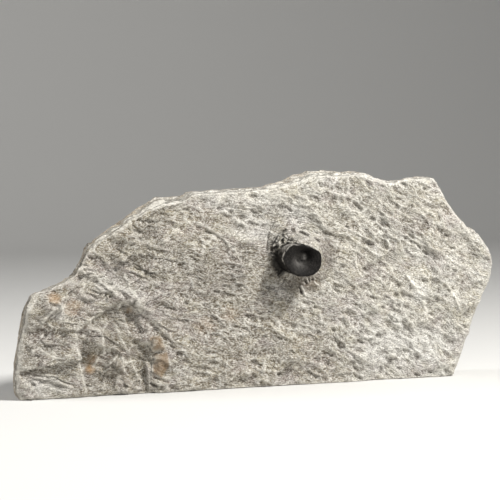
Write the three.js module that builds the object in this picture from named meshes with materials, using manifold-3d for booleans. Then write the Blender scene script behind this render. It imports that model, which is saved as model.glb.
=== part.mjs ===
// Fossil plesiosaur vertebra, still held in a loose slab of the limestone it was buried in.
// Millimetres, +Z up. X runs along the slab and -Y is the prepared front, out of which the bone stands.
// The slab stands on its sawn base at z = 0, and the origin is the middle of the bounding box's bottom.
import * as THREE from 'three';
import { ImprovedNoise } from 'three/addons/math/ImprovedNoise.js';
import { mergeVertices } from 'three/addons/utils/BufferGeometryUtils.js';
import Module from 'manifold-3d';

const wasm = await Module();
wasm.setup();

// ---------- Driving dimensions ----------

const LENGTH = 310; // left end to right end
const HEIGHT = 125; // sawn base to the top of the slab
const DEPTH = 47; // back of the slab to the open face of the bone
const BONE_PROUD = 18.5; // how far the bone stands out of the slab's front
const BONE_BURIED = 4; // how far its other end reaches into the slab
const FRONT_BED = 9; // thickness of the front bed of stone
const BED_LAP = 1; // the beds are one stone, so their solids run this far into each other
const SOCKET_GAP = 0.3; // clearance between the bone and the stone round it

const BACK_Y = DEPTH / 2;
const BONE_FACE_Y = -DEPTH / 2;
const FRONT_Y = BONE_FACE_Y + BONE_PROUD;
const BEDDING_Y = FRONT_Y + FRONT_BED;

// Outlines of the slab as [x, z] points seen from the front: sides run up from the base, tops to the right.
const FRONT_OUTLINE = {
  left: [[-153, 0], [-155.5, 4], [-155.6, 18], [-153.5, 31], [-151.6, 40], [-150, 49], [-146, 58]],
  top: [
    [-146, 58], [-141, 60], [-132, 63.2], [-121.8, 68.4], [-117, 75.3], [-113.2, 82.5], [-105, 88.3],
    [-98, 93], [-85.5, 100.4], [-75.5, 105.6], [-68, 108.8], [-61, 109.4], [-56, 109.9], [-51, 113.4],
    [-40, 114.5], [-21, 115], [-6, 116], [5, 117.6], [13, 119], [21, 122.2], [27, 123.4], [43, 122.8],
    [50, 123.4], [57, 124], [67, 120.2], [78, 118.4], [88, 120], [99, 120.8], [107, 119.3],
  ],
  right: [
    [121.3, 0], [124.5, 8], [130.5, 22.5], [133.5, 32], [139.5, 46.5], [144.7, 56], [147.2, 64],
    [147.3, 70.3], [141.8, 80], [137, 84.2], [131.5, 86.5], [128.8, 90.2], [119.7, 100],
    [113.8, 109.5], [111.3, 114.6], [107, 119.3],
  ],
};
const BEDDING_OUTLINE = {
  left: [[-148, 0], [-150.5, 4], [-150.8, 18], [-148.6, 31], [-147.3, 40], [-145.5, 49], [-141, 57]],
  top: [
    [-141, 57], [-136.5, 58.8], [-127.5, 62.3], [-117.7, 67.6], [-113.3, 74.6], [-110.4, 84.2],
    [-107.3, 87.5], [-100.5, 92], [-95.5, 94.3], [-86, 101.2], [-76.6, 107.3], [-71.8, 111],
    [-66.5, 111.4], [-61.8, 110.8], [-57, 109.6], [-52, 112.9], [-42, 114.3], [-22, 114.6],
    [-12, 115.8], [-5, 115.7], [8, 118.5], [13.3, 119.2], [18.6, 122.4], [24, 124.1], [29, 125.2],
    [36, 125.3], [50, 123.8], [59.5, 124.9], [71, 120.3], [81, 118.4], [92, 120], [103, 120.8],
    [109, 119.4],
  ],
  right: [
    [123.5, 0], [127, 8], [133, 22.5], [136, 32], [142, 46.5], [147.3, 56], [149.8, 64], [150, 71],
    [144.5, 80.5], [139.5, 85.5], [134, 88.5], [122.5, 100.5], [116, 109.8], [109, 119.4],
  ],
};
const BACK_OUTLINE = {
  left: [[-138, 0], [-140.5, 12], [-138, 30], [-135.5, 44], [-131, 53]],
  top: [
    [-131, 53], [-120, 59], [-109, 68], [-103, 78], [-95, 86], [-82, 95], [-70, 103], [-59, 106.5],
    [-45, 110], [-8, 112], [12, 117], [30, 122.5], [45, 122], [60, 121.3], [72, 114.5], [95, 116],
    [110, 113.5],
  ],
  right: [
    [127, 0], [133, 15], [141, 32], [150, 50], [155.5, 63], [153, 74], [144, 85], [133, 95],
    [122, 108], [110, 113.5],
  ],
};

// Grid of each bed, and how its broken walls are worn.
const FRONT_GRID = { columns: 75, layers: 2, rows: 29 };
const BACK_GRID = { columns: 32, layers: 3, rows: 13 };
const RIM_CELL = 1.8; // width of the grid cells along the outline
const ARRIS_WEAR = 1.1; // how far the front edge is rounded back
const FRONT_WALL_ROUGHNESS = 0.6;
const BACK_WALL_ROUGHNESS = 2.4; // at the back arris; the split wall is smoother towards the bedding plane

// Relief of the front, in mm below (+) or above (-) the front plane.
const BROAD_SWELL = { depth: 0.8, size: 46 };
const LEFT_FALL = { from: -112, to: -152, depth: 1.6 };
const CHISEL = { depth: 2.3, across: 9, along: 22, lean: THREE.MathUtils.degToRad(38), leftShare: 0.3 };
const LAMINATION = { depth: 0.8, size: 13 };
const RECESS = {
  outline: [
    [-114, -4], [-70, -4], [-73.5, 12], [-74.5, 22], [-79, 33], [-82, 44], [-87, 53.5], [-91, 53],
    [-99, 49.5], [-107, 44.5], [-115, 39.5], [-119.5, 36.5], [-117, 22],
  ],
  depth: 2.4,
};
const RAISED_BLOCKS = [
  { at: [-96, 17], radius: 6, height: 1.5 },
  { at: [-71.5, 28], radius: 4.5, height: 1 },
  { at: [-68.5, 17], radius: 5, height: 1.2 },
  { at: [-121.5, 50], radius: 6, height: 0.8 },
];
const LEDGES = [
  { path: [[-152, 35], [-143, 40], [-134, 48], [-128, 53], [-116, 54], [-104, 53.5]], drop: 1, run: 16 },
  { path: [[-122, 67], [-111, 69.5], [-104, 63], [-94, 54.5]], drop: 0.8, run: 9 },
  { path: [[-155, 18], [-143, 17], [-131, 16]], drop: 0.9, run: 12 },
  { path: [[-88, 53.5], [-72, 38.5], [-59, 26], [-47, 14]], drop: 0.8, run: 10 },
  { path: [[-98, 75], [-86, 74], [-76, 68.5], [-70, 67.5]], drop: 1.1, run: 6 },
  { path: [[53, 98], [49, 104], [50.5, 114], [51, 124]], drop: 0.9, run: 8 },
];
const PITS = [
  { at: [-80, 89], radius: 7, depth: 1 },
  { at: [-63, 86], radius: 5, depth: 0.8 },
  { at: [7, 5], radius: 4.5, depth: 1.6 },
  { at: [32, 3], radius: 5, depth: 1.2 },
  { at: [75, 5], radius: 5, depth: 1.2 },
  { at: [102, 2], radius: 6, depth: 1.2 },
  { at: [64, 66], radius: 5, depth: 0.9 },
  { at: [76, 34], radius: 6, depth: 1 },
  { at: [112, 50], radius: 6, depth: 0.9 },
  { at: [-10, 34], radius: 6, depth: 0.7 },
];

// Terraces of split bedding on the back.
const TERRACE = { step: 1.6, count: 3, size: 75 };

// The bone. Its rim is a closed outline round its axis; its profile runs from the buried end to the dish,
// as [share of the rim's radius, mm along the bone].
const CENTRUM_RIM = [
  [12.2, 0], [11.3, 4.6], [7.7, 6.9], [3.6, 8.2], [0, 9.3], [-3.4, 9.6], [-7.2, 9.3], [-10.2, 6.2],
  [-12.2, 2], [-10.5, -2.2], [-6.7, -6.5], [-2.7, -9], [2, -9.6], [6.8, -8.8], [10, -6.4],
  [11.8, -3.2],
];
const CENTRUM_PROFILE = [
  [0, 1.2], [0.5, 0.5], [0.93, 0], [1, 1], [0.96, 5], [0.93, 11], [0.95, 17], [1, 21.2], [0.985, 22.1],
  [0.94, 22.5], [0.85, 22.2], [0.7, 21.6], [0.5, 20.8], [0.35, 19.9], [0.22, 18.6], [0.12, 17.7],
  [0, 17.5],
];
const CENTRUM_LIP = 8; // profile points up to the widest part of the open end
const CENTRUM_SEGMENTS = 42;
const CENTRUM_BASE = [12.6, 74.6]; // x and z of its axis at the front plane
const AXIS_TO_LEFT = THREE.MathUtils.degToRad(4.5);
const AXIS_DOWN = THREE.MathUtils.degToRad(1.3);
const CENTRUM_ROUGHNESS = 0.25;

// The collar of stone left round the bone: highest near its top, and almost gone below and to the left.
// Heights are shares of BONE_PROUD, and rings are shares of the collar's width.
const COLLAR = {
  peakAt: THREE.MathUtils.degToRad(75),
  lowest: 0.06,
  highest: 0.88,
  sharpness: 2,
  width: 7,
  widerRight: 4,
  rings: [1, 0.84, 0.68, 0.5, 0.32, 0.15, 0],
  flank: 1.5, // above 1, the flank is hollow
  rubble: 1.2,
  sunk: 2.5, // how far its foot reaches below the front plane
};

// ---------- Small helpers ----------

const perlin = new ImprovedNoise();
const { clamp, lerp, smoothstep } = THREE.MathUtils;

function toSolid(geometry) {
  geometry.deleteAttribute('normal');
  geometry.deleteAttribute('uv');
  const merged = mergeVertices(geometry, 1e-4);
  const corners = merged.getIndex().array;
  const triVerts = [];
  for (let i = 0; i < corners.length; i += 3) {
    const [a, b, c] = corners.slice(i, i + 3);
    if (a !== b && b !== c && c !== a) triVerts.push(a, b, c);
  }
  const vertProperties = new Float32Array(merged.getAttribute('position').array);
  const mesh = new wasm.Mesh({ numProp: 3, vertProperties, triVerts: new Uint32Array(triVerts) });
  return new wasm.Manifold(mesh);
}

function toGeometry(solid) {
  const { vertProperties, triVerts } = solid.getMesh();
  const geometry = new THREE.BufferGeometry();
  geometry.setAttribute('position', new THREE.BufferAttribute(vertProperties, 3));
  geometry.setIndex(new THREE.BufferAttribute(triVerts, 1));
  geometry.computeVertexNormals();
  return geometry;
}

// Distance from (x, z) to a run of points, positive on its left-hand side.
function sideDistance(path, x, z) {
  let nearest = Infinity;
  let side = 1;
  for (let i = 0; i + 1 < path.length; i += 1) {
    const [ax, az] = path[i];
    const [bx, bz] = path[i + 1];
    const along = (x - ax) * (bx - ax) + (z - az) * (bz - az);
    const share = clamp(along / ((bx - ax) ** 2 + (bz - az) ** 2), 0, 1);
    const distance = Math.hypot(x - lerp(ax, bx, share), z - lerp(az, bz, share));
    if (distance < nearest) {
      nearest = distance;
      side = Math.sign((bx - ax) * (z - az) - (bz - az) * (x - ax)) || 1;
    }
  }
  return nearest * side;
}

// ---------- Outlines ----------

// A smooth patch over an outline: u runs from the left side to the right, v from the base to the top.
function outlinePatch(outline) {
  const curve = (points) => new THREE.SplineCurve(points.map(([x, z]) => new THREE.Vector2(x, z)));
  const left = curve(outline.left);
  const right = curve(outline.right);
  const top = curve(outline.top);
  const base = new THREE.LineCurve(left.getPoint(0), right.getPoint(0));
  return (u, v) => new THREE.Vector2()
    .addScaledVector(base.getPointAt(u), 1 - v)
    .addScaledVector(top.getPointAt(u), v)
    .addScaledVector(left.getPointAt(v), 1 - u)
    .addScaledVector(right.getPointAt(v), u)
    .addScaledVector(base.getPoint(0), -(1 - u) * (1 - v))
    .addScaledVector(base.getPoint(1), -u * (1 - v))
    .addScaledVector(top.getPoint(0), -(1 - u) * v)
    .addScaledVector(top.getPoint(1), -u * v);
}

// Spreads the grid's lines evenly, but keeps the first and last cells only as wide as the rim.
function spread(share, cells, rim) {
  const line = Math.round(share * cells);
  if (line === 0 || line === cells) return line / cells;
  return lerp(rim, 1 - rim, (line - 1) / (cells - 2));
}

// ---------- Relief ----------

function chiselRidges(x, z) {
  const along = x * Math.cos(CHISEL.lean) - z * Math.sin(CHISEL.lean);
  const across = x * Math.sin(CHISEL.lean) + z * Math.cos(CHISEL.lean);
  const ridge = perlin.noise(across / CHISEL.across, along / CHISEL.along, 3.7);
  return CHISEL.depth * ridge * lerp(CHISEL.leftShare, 1, smoothstep(x, -50, 60));
}

function ledgeDrop({ path, drop, run }, x, z) {
  const below = -sideDistance(path, x, z);
  return drop * (smoothstep(below, -0.5, 1.5) - smoothstep(below, 2, run));
}

function roundSpot([x0, z0], radius, x, z) {
  return 1 - smoothstep(Math.hypot(x - x0, z - z0), radius * 0.55, radius);
}

function recessDepth(x, z) {
  const closed = [...RECESS.outline, RECESS.outline[0]];
  const inside = sideDistance(closed, x, z);
  const floor = lerp(1, 0.55, smoothstep(inside, 4, 16));
  return RECESS.depth * floor * smoothstep(inside, -1.5, 1.5);
}

function frontRelief(x, z) {
  let depth = BROAD_SWELL.depth * perlin.noise(x / BROAD_SWELL.size, z / BROAD_SWELL.size, 0.5);
  depth += LEFT_FALL.depth * smoothstep(-x, -LEFT_FALL.from, -LEFT_FALL.to);
  depth += LAMINATION.depth * perlin.noise(x / LAMINATION.size, z / LAMINATION.size, 8.1);
  depth += chiselRidges(x, z) + recessDepth(x, z);
  for (const ledge of LEDGES) depth += ledgeDrop(ledge, x, z);
  for (const pit of PITS) depth += pit.depth * roundSpot(pit.at, pit.radius, x, z);
  for (const block of RAISED_BLOCKS) depth -= block.height * roundSpot(block.at, block.radius, x, z);
  return depth;
}

// Flat bedding planes that step down one after the other, with short slopes between them.
function backRelief(x, z) {
  const level = TERRACE.count * (0.5 + perlin.noise(x / TERRACE.size, z / TERRACE.size, 5.3));
  const whole = Math.floor(level);
  const stepped = whole + smoothstep(level - whole, 0.35, 0.65);
  return TERRACE.step * clamp(stepped, 0, TERRACE.count);
}

// ---------- Beds of stone ----------

const frontPatch = outlinePatch(FRONT_OUTLINE);
const beddingPatch = outlinePatch(BEDDING_OUTLINE);
const backPatch = outlinePatch(BACK_OUTLINE);
const slabMiddle = frontPatch(0.5, 0.5);

// Moves a point of the wall inward by the wear and by the stone's roughness. The base stays flat.
function wearWall(place, y, wear, roughness) {
  const rough = roughness * perlin.noise(place.x / 9, place.y / 9, y / 4);
  const inward = slabMiddle.clone().sub(place).normalize().multiplyScalar(wear + rough);
  place.x += inward.x;
  if (place.y > 0) place.y += inward.y;
}

function makeBed({ grid, front, back, frontY, backY, wear, roughness, relief }) {
  const geometry = new THREE.BoxGeometry(1, 1, 1, grid.columns, grid.layers, grid.rows);
  const points = geometry.getAttribute('position');
  for (let i = 0; i < points.count; i += 1) {
    const u = spread(points.getX(i) + 0.5, grid.columns, RIM_CELL / LENGTH);
    const v = spread(points.getZ(i) + 0.5, grid.rows, RIM_CELL / HEIGHT);
    const depth = points.getY(i) + 0.5;
    const place = front(u, v).lerp(back(u, v), depth);
    const onWall = u === 0 || u === 1 || v === 1;
    const arris = onWall && depth === 0 ? wear : 0;
    const y = lerp(frontY, backY, depth) + relief(place, depth) + arris;
    if (onWall) wearWall(place, y, arris, roughness(depth));
    points.setXYZ(i, place.x, y, place.y);
  }
  return geometry;
}

// Stretches the worn outline by its last fraction of a millimetre, to the slab's full length and height.
function fitToSize(...geometries) {
  const box = new THREE.Box3();
  for (const geometry of geometries) {
    geometry.computeBoundingBox();
    box.union(geometry.boundingBox);
  }
  for (const geometry of geometries) {
    geometry.translate(-(box.min.x + box.max.x) / 2, 0, 0);
    geometry.scale(LENGTH / (box.max.x - box.min.x), 1, HEIGHT / box.max.z);
  }
}

function makeBeds() {
  const front = makeBed({
    grid: FRONT_GRID,
    front: frontPatch,
    back: (u, v) => frontPatch(u, v).lerp(beddingPatch(u, v), 0.5),
    frontY: FRONT_Y,
    backY: BEDDING_Y,
    wear: ARRIS_WEAR,
    roughness: () => FRONT_WALL_ROUGHNESS,
    relief: (place, depth) => (depth === 0 ? frontRelief(place.x, place.y) : 0),
  });
  const back = makeBed({
    grid: BACK_GRID,
    front: beddingPatch,
    back: backPatch,
    frontY: BEDDING_Y - BED_LAP,
    backY: BACK_Y,
    wear: 0,
    roughness: (depth) => lerp(FRONT_WALL_ROUGHNESS, BACK_WALL_ROUGHNESS, depth),
    relief: (place, depth) => (depth === 1 ? -backRelief(place.x, place.y) : 0),
  });
  fitToSize(front, back);
  return toSolid(front).add(toSolid(back));
}

// ---------- The bone, its socket and its collar ----------

const rimCurve = new THREE.CatmullRomCurve3(CENTRUM_RIM.map(([x, z]) => new THREE.Vector3(x, z, 0)), true);

// Turns a round lathe into the bone's section: `place` makes a point of the rim, the radius and the height.
function latheOnRim(profile, place) {
  const outline = profile.map(([radius, height]) => new THREE.Vector2(radius, height));
  const lathe = new THREE.LatheGeometry(outline, CENTRUM_SEGMENTS);
  const points = lathe.getAttribute('position');
  const turn = lathe.getAttribute('uv');
  for (let i = 0; i < points.count; i += 1) {
    const radius = Math.hypot(points.getX(i), points.getZ(i));
    const height = points.getY(i);
    const rim = rimCurve.getPoint(turn.getX(i));
    const point = radius > 0 ? place(rim, radius, height) : new THREE.Vector3(0, 0, height);
    points.setXYZ(i, point.x, point.y, point.z);
  }
  return lathe;
}

// Lays the bone's axis along -Y of the slab, leaning a little to the left and down.
function placeOnSlab(geometry) {
  geometry.translate(0, 0, -BONE_BURIED);
  geometry.rotateX(Math.PI / 2 + AXIS_DOWN);
  geometry.rotateZ(-AXIS_TO_LEFT);
  geometry.translate(CENTRUM_BASE[0], FRONT_Y, CENTRUM_BASE[1]);
  return geometry;
}

// A point of the bone's skin, grown outward by the clearance that its socket needs.
function centrumPoint(rim, radius, height, grow) {
  const worn = CENTRUM_ROUGHNESS * perlin.noise((rim.x * radius) / 5, (rim.y * radius) / 5, height / 6);
  return rim.multiplyScalar(radius * (1 + worn / rim.length()) + grow / rim.length()).setZ(height);
}

function makeCentrum() {
  const skin = latheOnRim(CENTRUM_PROFILE, (rim, r, height) => centrumPoint(rim, r, height, 0));
  return placeOnSlab(skin);
}

// The bone's buried end and waist, grown by the clearance and run on past its open face.
function makeSocketCutter() {
  const past = BONE_BURIED + BONE_PROUD + 3;
  const profile = [...CENTRUM_PROFILE.slice(0, CENTRUM_LIP), [1, past], [0, past]];
  const cutter = latheOnRim(profile, (rim, r, height) => centrumPoint(rim, r, height, SOCKET_GAP));
  return placeOnSlab(cutter).translate(0, SOCKET_GAP, 0);
}

function collarHeight(angle) {
  const nearPeak = (Math.cos(angle - COLLAR.peakAt) + 1) / 2;
  return BONE_PROUD * lerp(COLLAR.lowest, COLLAR.highest, nearPeak ** COLLAR.sharpness);
}

// A ring of stone that falls away from the bone in a hollow flank. Its foot lies inside the slab.
function makeCollar() {
  const inner = rimCurve.getPoint(0).length();
  const flank = COLLAR.rings.map((share) => [inner + share, (1 - share) ** COLLAR.flank]);
  const profile = [[0, -COLLAR.sunk], [inner + 1, -COLLAR.sunk], ...flank, [0, 1]];
  return placeOnSlab(latheOnRim(profile, (rim, radius, height) => {
    const angle = Math.atan2(rim.y, rim.x);
    const width = COLLAR.width + COLLAR.widerRight * Math.max(0, Math.cos(angle));
    const point = rim.setLength(rim.length() + (radius - inner) * width);
    const rubble = COLLAR.rubble * perlin.noise(point.x / 5, point.y / 5, 1.9);
    const raised = height > 0 ? height * (collarHeight(angle) + rubble) : height;
    return point.setZ(BONE_BURIED + raised);
  }));
}

// ---------- Assembly ----------

const limestone = new THREE.MeshStandardMaterial({ color: '#b4ae9f', roughness: 0.92, metalness: 0 });
const blackBone = new THREE.MeshStandardMaterial({ color: '#35322f', roughness: 0.5, metalness: 0 });

function namedMesh(name, geometry, material) {
  const mesh = new THREE.Mesh(geometry, material);
  mesh.name = name;
  return mesh;
}

// The leaning bone is set so that the foremost point of its rim stands at the full depth.
const centrum = makeCentrum();
centrum.computeBoundingBox();
const setBack = BONE_FACE_Y - centrum.boundingBox.min.y;
centrum.translate(0, setBack, 0);
const socket = toSolid(makeSocketCutter().translate(0, setBack, 0));
const stone = makeBeds().add(toSolid(makeCollar())).subtract(socket);

const fossil = new THREE.Group();
fossil.add(namedMesh('matrix_slab', toGeometry(stone), limestone));
fossil.add(namedMesh('vertebra', toGeometry(toSolid(centrum)), blackBone));

export default fossil;
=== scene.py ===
import itertools
import math

import bmesh
import bpy
import numpy as np
from mathutils import Matrix, Vector


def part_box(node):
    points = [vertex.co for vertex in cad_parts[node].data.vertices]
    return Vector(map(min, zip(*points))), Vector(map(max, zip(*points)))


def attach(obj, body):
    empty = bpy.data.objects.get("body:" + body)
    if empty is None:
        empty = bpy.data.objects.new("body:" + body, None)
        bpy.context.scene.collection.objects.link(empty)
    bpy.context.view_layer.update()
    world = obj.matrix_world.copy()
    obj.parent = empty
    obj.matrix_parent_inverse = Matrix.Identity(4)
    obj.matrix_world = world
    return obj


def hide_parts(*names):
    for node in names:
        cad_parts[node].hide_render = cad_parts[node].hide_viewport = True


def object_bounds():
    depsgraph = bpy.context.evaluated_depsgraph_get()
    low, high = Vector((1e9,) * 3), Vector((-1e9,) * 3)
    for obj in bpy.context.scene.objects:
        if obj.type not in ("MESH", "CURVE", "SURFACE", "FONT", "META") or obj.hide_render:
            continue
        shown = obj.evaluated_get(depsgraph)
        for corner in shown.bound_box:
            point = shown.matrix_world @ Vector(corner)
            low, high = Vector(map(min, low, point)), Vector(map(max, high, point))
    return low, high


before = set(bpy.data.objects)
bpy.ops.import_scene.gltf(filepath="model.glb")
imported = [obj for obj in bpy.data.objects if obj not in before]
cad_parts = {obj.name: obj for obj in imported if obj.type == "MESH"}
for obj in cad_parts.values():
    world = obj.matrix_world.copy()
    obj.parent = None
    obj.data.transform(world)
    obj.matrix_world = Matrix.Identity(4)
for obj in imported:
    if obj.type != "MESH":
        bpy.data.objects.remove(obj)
cad_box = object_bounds()

MM = 0.001

# ---------- Sizes, in mm, in the frame of the CAD ----------

BONE_PROUD = 18.5  # how far the bone stands out of the slab's front
BONE_LENGTH = 22.5
FRONT_BED = 9  # thickness of the front bed of stone
FRONT_Y = round(cad_box[0][1] / MM, 3) + BONE_PROUD  # the slab's front plane
BEDDING_Y = FRONT_Y + FRONT_BED  # where the front bed parts from the back bed
BONE_AXIS = (12.6, 74.6)  # x and z where the bone's axis meets the front plane
BONE_LEFT, BONE_DOWN = math.radians(4.5), math.radians(1.3)  # how the axis leans
COLLAR_REACH = 30  # from the bone's axis to where its collar has run out
RIGHT_CORNER = (138, 84.8)  # x and z of the blunt corner on the slab's right edge

# The fine meshes: width of their faces while they are carved, and triangles that the slab is thinned to.
SLAB_GRAIN, BONE_GRAIN = 0.48, 0.3
FRONT_TRIANGLES, OTHER_TRIANGLES = 157_000, 36_000
FRONT_FACING = -0.35  # y of a normal, below which a place counts as the front when it is thinned

# The air pen's furrows lean down to the right, in degrees: less on the left, more on the right.
LEFT_LEAN, RIGHT_LEAN = 12, 27
CROSSED_TURN = -52  # from the furrows to those that cross them
LEFT_PIT_LEAN, RIGHT_PIT_LEAN = 8, 24  # the single pits lie a little flatter
# Length and width of their scallops.
COARSE, SMALL, FINE, CROSSED = (10, 4.6), (5.4, 2.6), (3.0, 1.4), (6.5, 2.0)
# Flat chips of split stone: height, lean in degrees, length and width, and seed.
CHIPS = [(5.6, -6, (19, 11), 55), (2.0, 25, (9, 4.6), 57), (0.5, 18, (5.2, 2.0), 59)]
# Ragged ledges of thin leaves: height, lean in degrees, step from one to the next, and seed.
LEDGES = [(1.7, 20, 8, 61), (1.4, -34, 13, 65)]

# Outline of the shallow recess, flaked out at the lower left and open at the base.
RECESS = [
    (-114, -6), (-115, 4.5), (-118.5, 22), (-120.5, 36.8), (-115.5, 39.7), (-109.6, 42),
    (-107.4, 44.9), (-103.8, 45.2), (-100.1, 49.8), (-97.3, 51.4), (-91.9, 53.7), (-88.2, 54.1),
    (-85.4, 49.2), (-83.2, 44.4), (-81.4, 40), (-79.5, 34.8), (-79.1, 28.6), (-75.4, 24.2),
    (-74.5, 17.6), (-75.4, 12), (-73.7, 3.6), (-71, -6),
]
# Shell and stone blocks that stand out of the face: outline, height, and how brown they are.
BLOCKS = [
    ([(-96.2, 23.6), (-100.4, 22), (-103, 13.2), (-96, 10.5), (-88.8, 12)], 0.9, 0.0),
    ([(-76.8, 31.9), (-69.3, 33), (-67.5, 24.6), (-74.6, 23.9)], 0.8, 1.0),
    ([(-73, 22.4), (-65.8, 23.4), (-65, 14), (-69.6, 8.4), (-74.2, 12)], 0.8, 1.0),
    ([(-90.3, 50), (-86.3, 50.8), (-84.8, 46.6), (-88.6, 45.6)], 0.3, 0.8),
]
# Low scarps, a bright lip over a dark foot, with a painted highlight on the lip and painted shade at the
# foot: path, drop on its right-hand side, width of the foot.
SCARPS = [
    ([(-153.2, 36.1), (-144, 40.1), (-138.8, 43.2), (-134.7, 48.6), (-128.8, 53.4)], 0.9, 7),
    ([(-130.6, 55.1), (-121, 56.4), (-113, 55), (-105.4, 54.2)], 0.6, 4),
    ([(-122.9, 67.6), (-111.2, 70), (-105.3, 63.7), (-96.5, 55.6), (-92.3, 53.8)], 0.8, 6),
    ([(-155, 18.5), (-143, 17.6), (-132, 16.3)], 0.4, 4),
    ([(-88.7, 54.2), (-81.5, 46.6), (-72.5, 38.9), (-60.4, 27), (-48.1, 15)], 0.7, 5),
    ([(52.4, 99.3), (48.4, 104.1), (47.1, 108.8), (50.3, 114.6), (49.7, 123.4)], 0.7, 6),
    ([(-52, 97), (-41.8, 93.1), (-36.9, 90.7), (-31.3, 87.1), (-26.3, 81.8), (-20.1, 74.8)], 0.9, 7),
]
# Cracks: path, depth, half width.
CRACKS = [
    ([(-94.6, 75.2), (-88.6, 75), (-82.7, 72.6), (-76.7, 69), (-72.4, 68.3)], 0.9, 0.5),
    ([(-76.2, 6), (-70.5, 3.4), (-66.6, 2.8)], 0.9, 0.8),
    ([(16.2, 57.9), (18.2, 55.8), (19.2, 53.1)], 1.0, 0.6),
    ([(22.2, 63.2), (23.8, 60.4)], 0.9, 0.4),
    ([(23.7, 63.6), (25.8, 61.4)], 0.9, 0.4),
    ([(20.2, 62.2), (22.6, 58.7)], 0.9, 0.5),
    ([(4.6, 88.4), (6.6, 89.9), (9.4, 90.7)], 1.3, 0.8),
    ([(11.2, 91), (14.6, 90.4)], 1.3, 0.8),
    ([(16.6, 90), (19.5, 88.9), (22.3, 87.1)], 1.3, 0.8),
    ([(24.6, 86), (28.6, 83.4)], 1.2, 0.7),
    ([(2, 98), (0.5, 93.8), (-2.6, 88.3), (-3.4, 84.1), (-3.4, 76.4)], 0.5, 0.5),
]
# Thin raised crests and calcite veins: path, height, half width. The white of the crests, such as the short
# strokes below the bone and the lips along the recess's left wall and top edge, is painted highlight; the
# veins' white is calcite.
VEINS_AND_CRESTS = [
    ([(-41.8, 93.1), (-36.9, 90.7), (-31.3, 87.1), (-26.3, 81.8), (-20.1, 74.8)], 0.5, 0.7),
    ([(-33.8, 90.6), (-36.9, 87.3), (-40.6, 84.5)], 0.6, 0.7),
    ([(53.8, 82.5), (53.6, 72.2), (57, 62.8), (61.9, 57.6)], 0.5, 0.6),
    ([(86.1, 64.1), (90.2, 58.2), (95.2, 52.9), (99.3, 49.2), (101.8, 42.5), (104.3, 38.1)], 0.7, 1.0),
    ([(114.1, 57), (119.2, 50.7), (123.4, 42.5), (125.9, 36.5)], 0.6, 0.8),
    ([(116.1, 74.8), (122.3, 76.9), (129, 80.4), (134.9, 78.8)], 0.5, 0.8),
    ([(62.5, 102.7), (59.3, 100.6), (54.1, 99.3)], 0.4, 0.6),
    ([(78.8, 58.5), (75.6, 53.6)], 0.5, 0.7),
    ([(68.1, 108.3), (72.1, 104)], 0.4, 0.6),
    ([(23.7, 117.3), (28.4, 113), (33.1, 110.1)], 0.4, 0.5),
    ([(20.6, 111), (24.5, 105.3)], 0.4, 0.5),
    ([(21.2, 63.4), (22.9, 59.6)], 0.8, 0.4),
    ([(22.6, 63.2), (24.5, 60.2)], 0.8, 0.4),
    ([(24.9, 63.7), (27.2, 61.6)], 0.7, 0.4),
    ([(18.7, 62.2), (20.8, 58.9)], 0.6, 0.4),
    ([(17.8, 58.5), (20.4, 55.1), (21.4, 50.7)], 0.6, 0.6),
    ([(25.9, 60.7), (29.1, 58.3)], 0.6, 0.5),
    ([(-91.5, 68.8), (-88.3, 60.7), (-85, 55.1), (-81.8, 50.7)], 0.55, 0.7),
    ([(-97.6, 92), (-89.2, 98), (-75.4, 104.2), (-64.5, 108.8)], 0.5, 0.8),
    ([(-119.6, 71.4), (-117.1, 73.4), (-113.3, 71.2), (-109.5, 67.5)], 0.5, 0.6),
    ([(-142.4, 55.9), (-146.8, 51.3), (-150.5, 47.3)], 0.5, 0.7),
    ([(-131.7, 53.8), (-128.6, 50)], 0.4, 0.6),
    ([(-134.9, 49.7), (-138.7, 44.4), (-139.7, 39.7)], 0.5, 0.7),
    ([(-119.8, 40.7), (-113.4, 42.2), (-108.3, 45), (-105.1, 45.5)], 0.5, 0.7),
    ([(-121.5, 41.4), (-120, 32.4), (-118.9, 23.4), (-115.2, 10.7), (-114, 3)], 0.5, 0.5),
    ([(-107.9, 43.5), (-104.5, 31.7), (-102.3, 22.6)], 0.5, 0.6),
    ([(-97.4, 42.2), (-91.8, 29.4), (-87, 20.1), (-81.3, 8)], 0.5, 0.6),
    ([(-91.7, 43.8), (-87.9, 34.6)], 0.5, 0.6),
    ([(-109.9, 14.9), (-106.1, 21), (-101.4, 17.2), (-94.7, 22.3), (-88.9, 17.5), (-80.3, 19.8)], 0.6, 0.6),
    ([(-146.3, 26.4), (-141.6, 28.9), (-134.3, 24.1), (-129.6, 22.1)], 0.7, 0.6),
    ([(-94, 47.5), (-92, 52), (-88.8, 53.6), (-85.4, 52.5), (-83, 48.9)], 0.7, 0.6),
]
# Dark pits that lie along the chisel marks: half length, half width, depth, and their x and z.
PITS = [
    (2.9, 1.4, 1.2, [
        (73.8, 85.1), (100.6, 75.3), (60.7, 66.4), (65.8, 49), (84.2, 56.1), (119.4, 77.1), (42.6, 53.9),
        (100.7, 58.3), (70, 26.6), (96.9, 1.5), (29.7, 4), (6.3, 6.3), (-75.4, 97.2), (-83.2, 91.7),
        (-12.4, 110.6), (-35.3, 56.5), (-55.2, 40.4), (82.2, 44.3), (85.9, 117.1), (-70.5, 1.9),
    ]),
    (2.2, 1.1, 1.1, [
        (65.6, 96.1), (88.2, 76.1), (61.6, 82.2), (72, 43.3), (120.6, 64.2), (115.2, 85.5), (57.8, 28.9),
        (39.7, 31.5), (84.5, 6.3), (105.3, 2.9), (71.6, 115.4), (100.4, 113.2), (48.5, 91.5), (105, 38),
        (128.2, 29.7), (88.5, 16.6), (-54.2, 103.7), (-33.4, 103.8), (10.9, 102.6), (-72, 97.4),
        (-54.3, 50.4), (-65, 48.3), (-38.9, 38.9), (-4.9, 29.1), (-25.2, 81.4), (-19.7, 75.3),
        (-81.4, 87.2), (-63.3, 86.7), (-99.5, 62.5), (-112, 78.5), (-143, 24),
    ]),
]
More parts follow.
